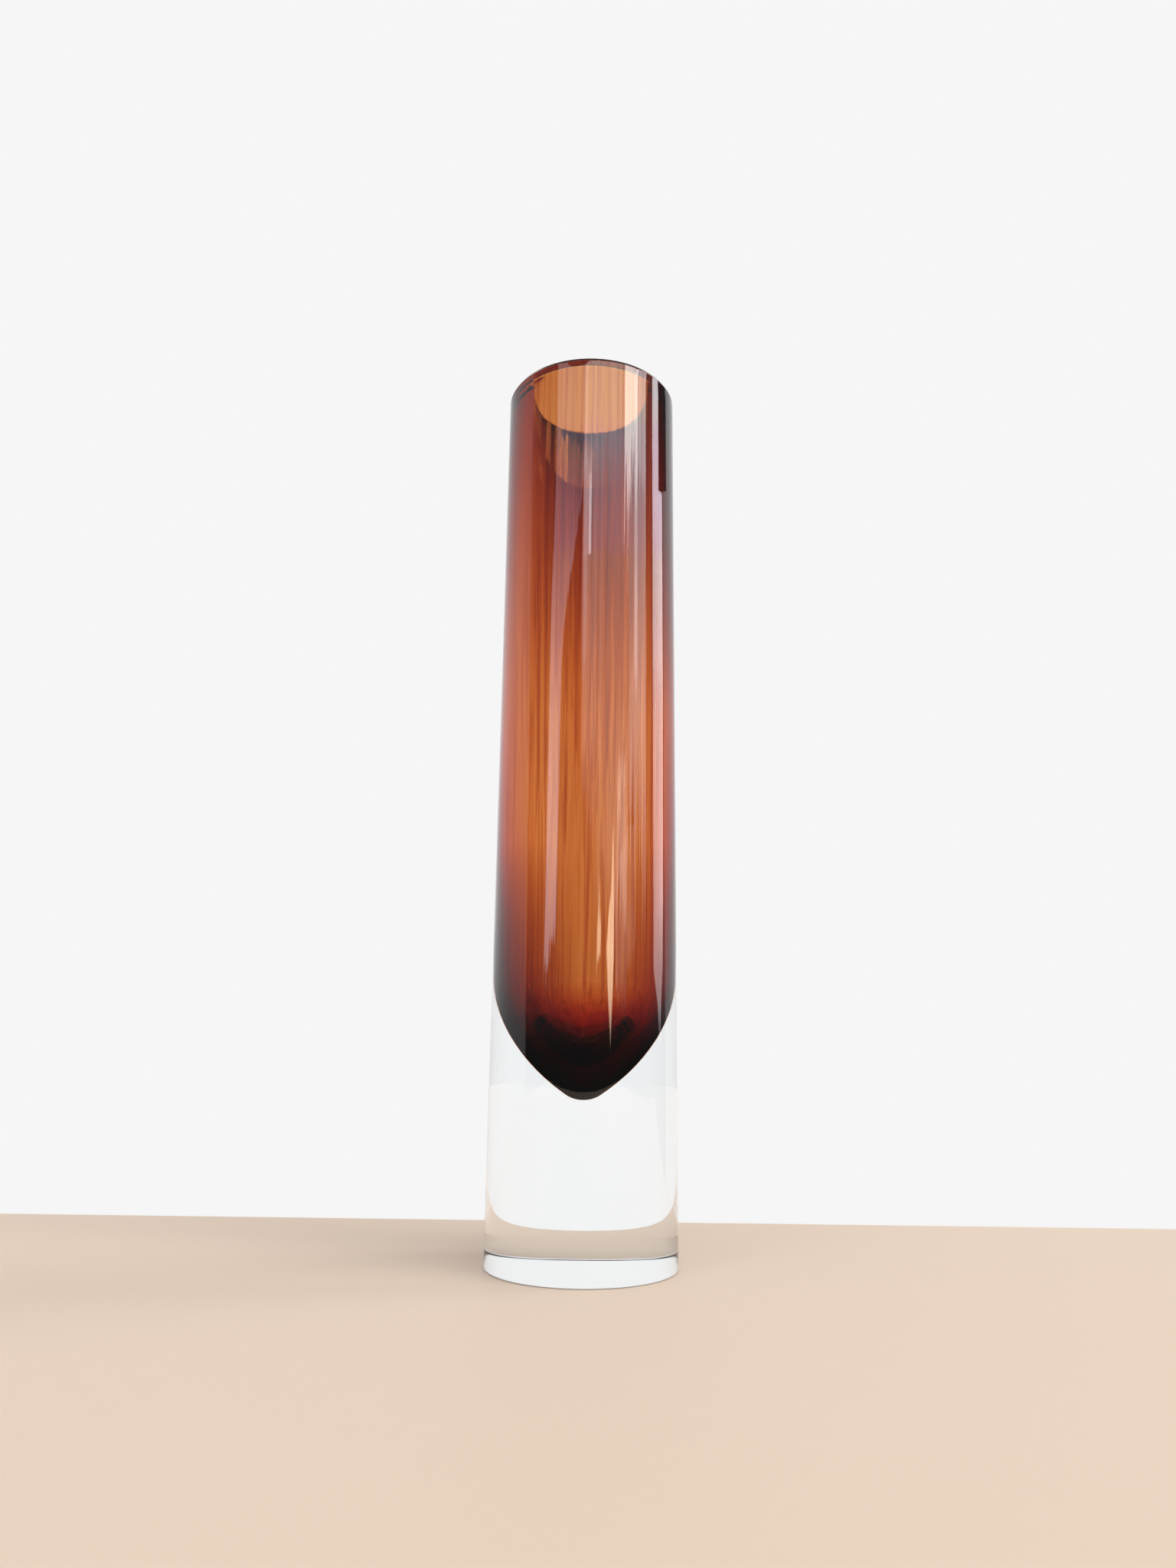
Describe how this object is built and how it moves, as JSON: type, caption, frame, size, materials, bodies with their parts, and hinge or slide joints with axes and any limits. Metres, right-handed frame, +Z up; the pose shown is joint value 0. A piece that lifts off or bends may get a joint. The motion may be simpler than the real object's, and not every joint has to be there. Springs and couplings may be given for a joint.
{
  "type": "bud vase",
  "caption": "Tall straight-sided bud vase of clear glass with a heavy solid foot, cased over an amber brown glass lining that narrows to a dark point; holds a flower stem.",
  "frame": {"origin": "centre of the flat base, where it stands on the table", "axes": "+Z up along the vase's axis, towards the mouth; the vase is round, so X and Y may point any way"},
  "size_m": [0.0506, 0.0504, 0.25],
  "materials": {
    "clear_glass": "clear, fire polished, with a ground and polished rim and base",
    "coloured_glass": "transparent amber brown, nearly black where it is thick at the point"
  },
  "bodies": {
    "root": {"clear_casing": "clear_glass", "coloured_lining": "coloured_glass"}
  },
  "joints": []
}
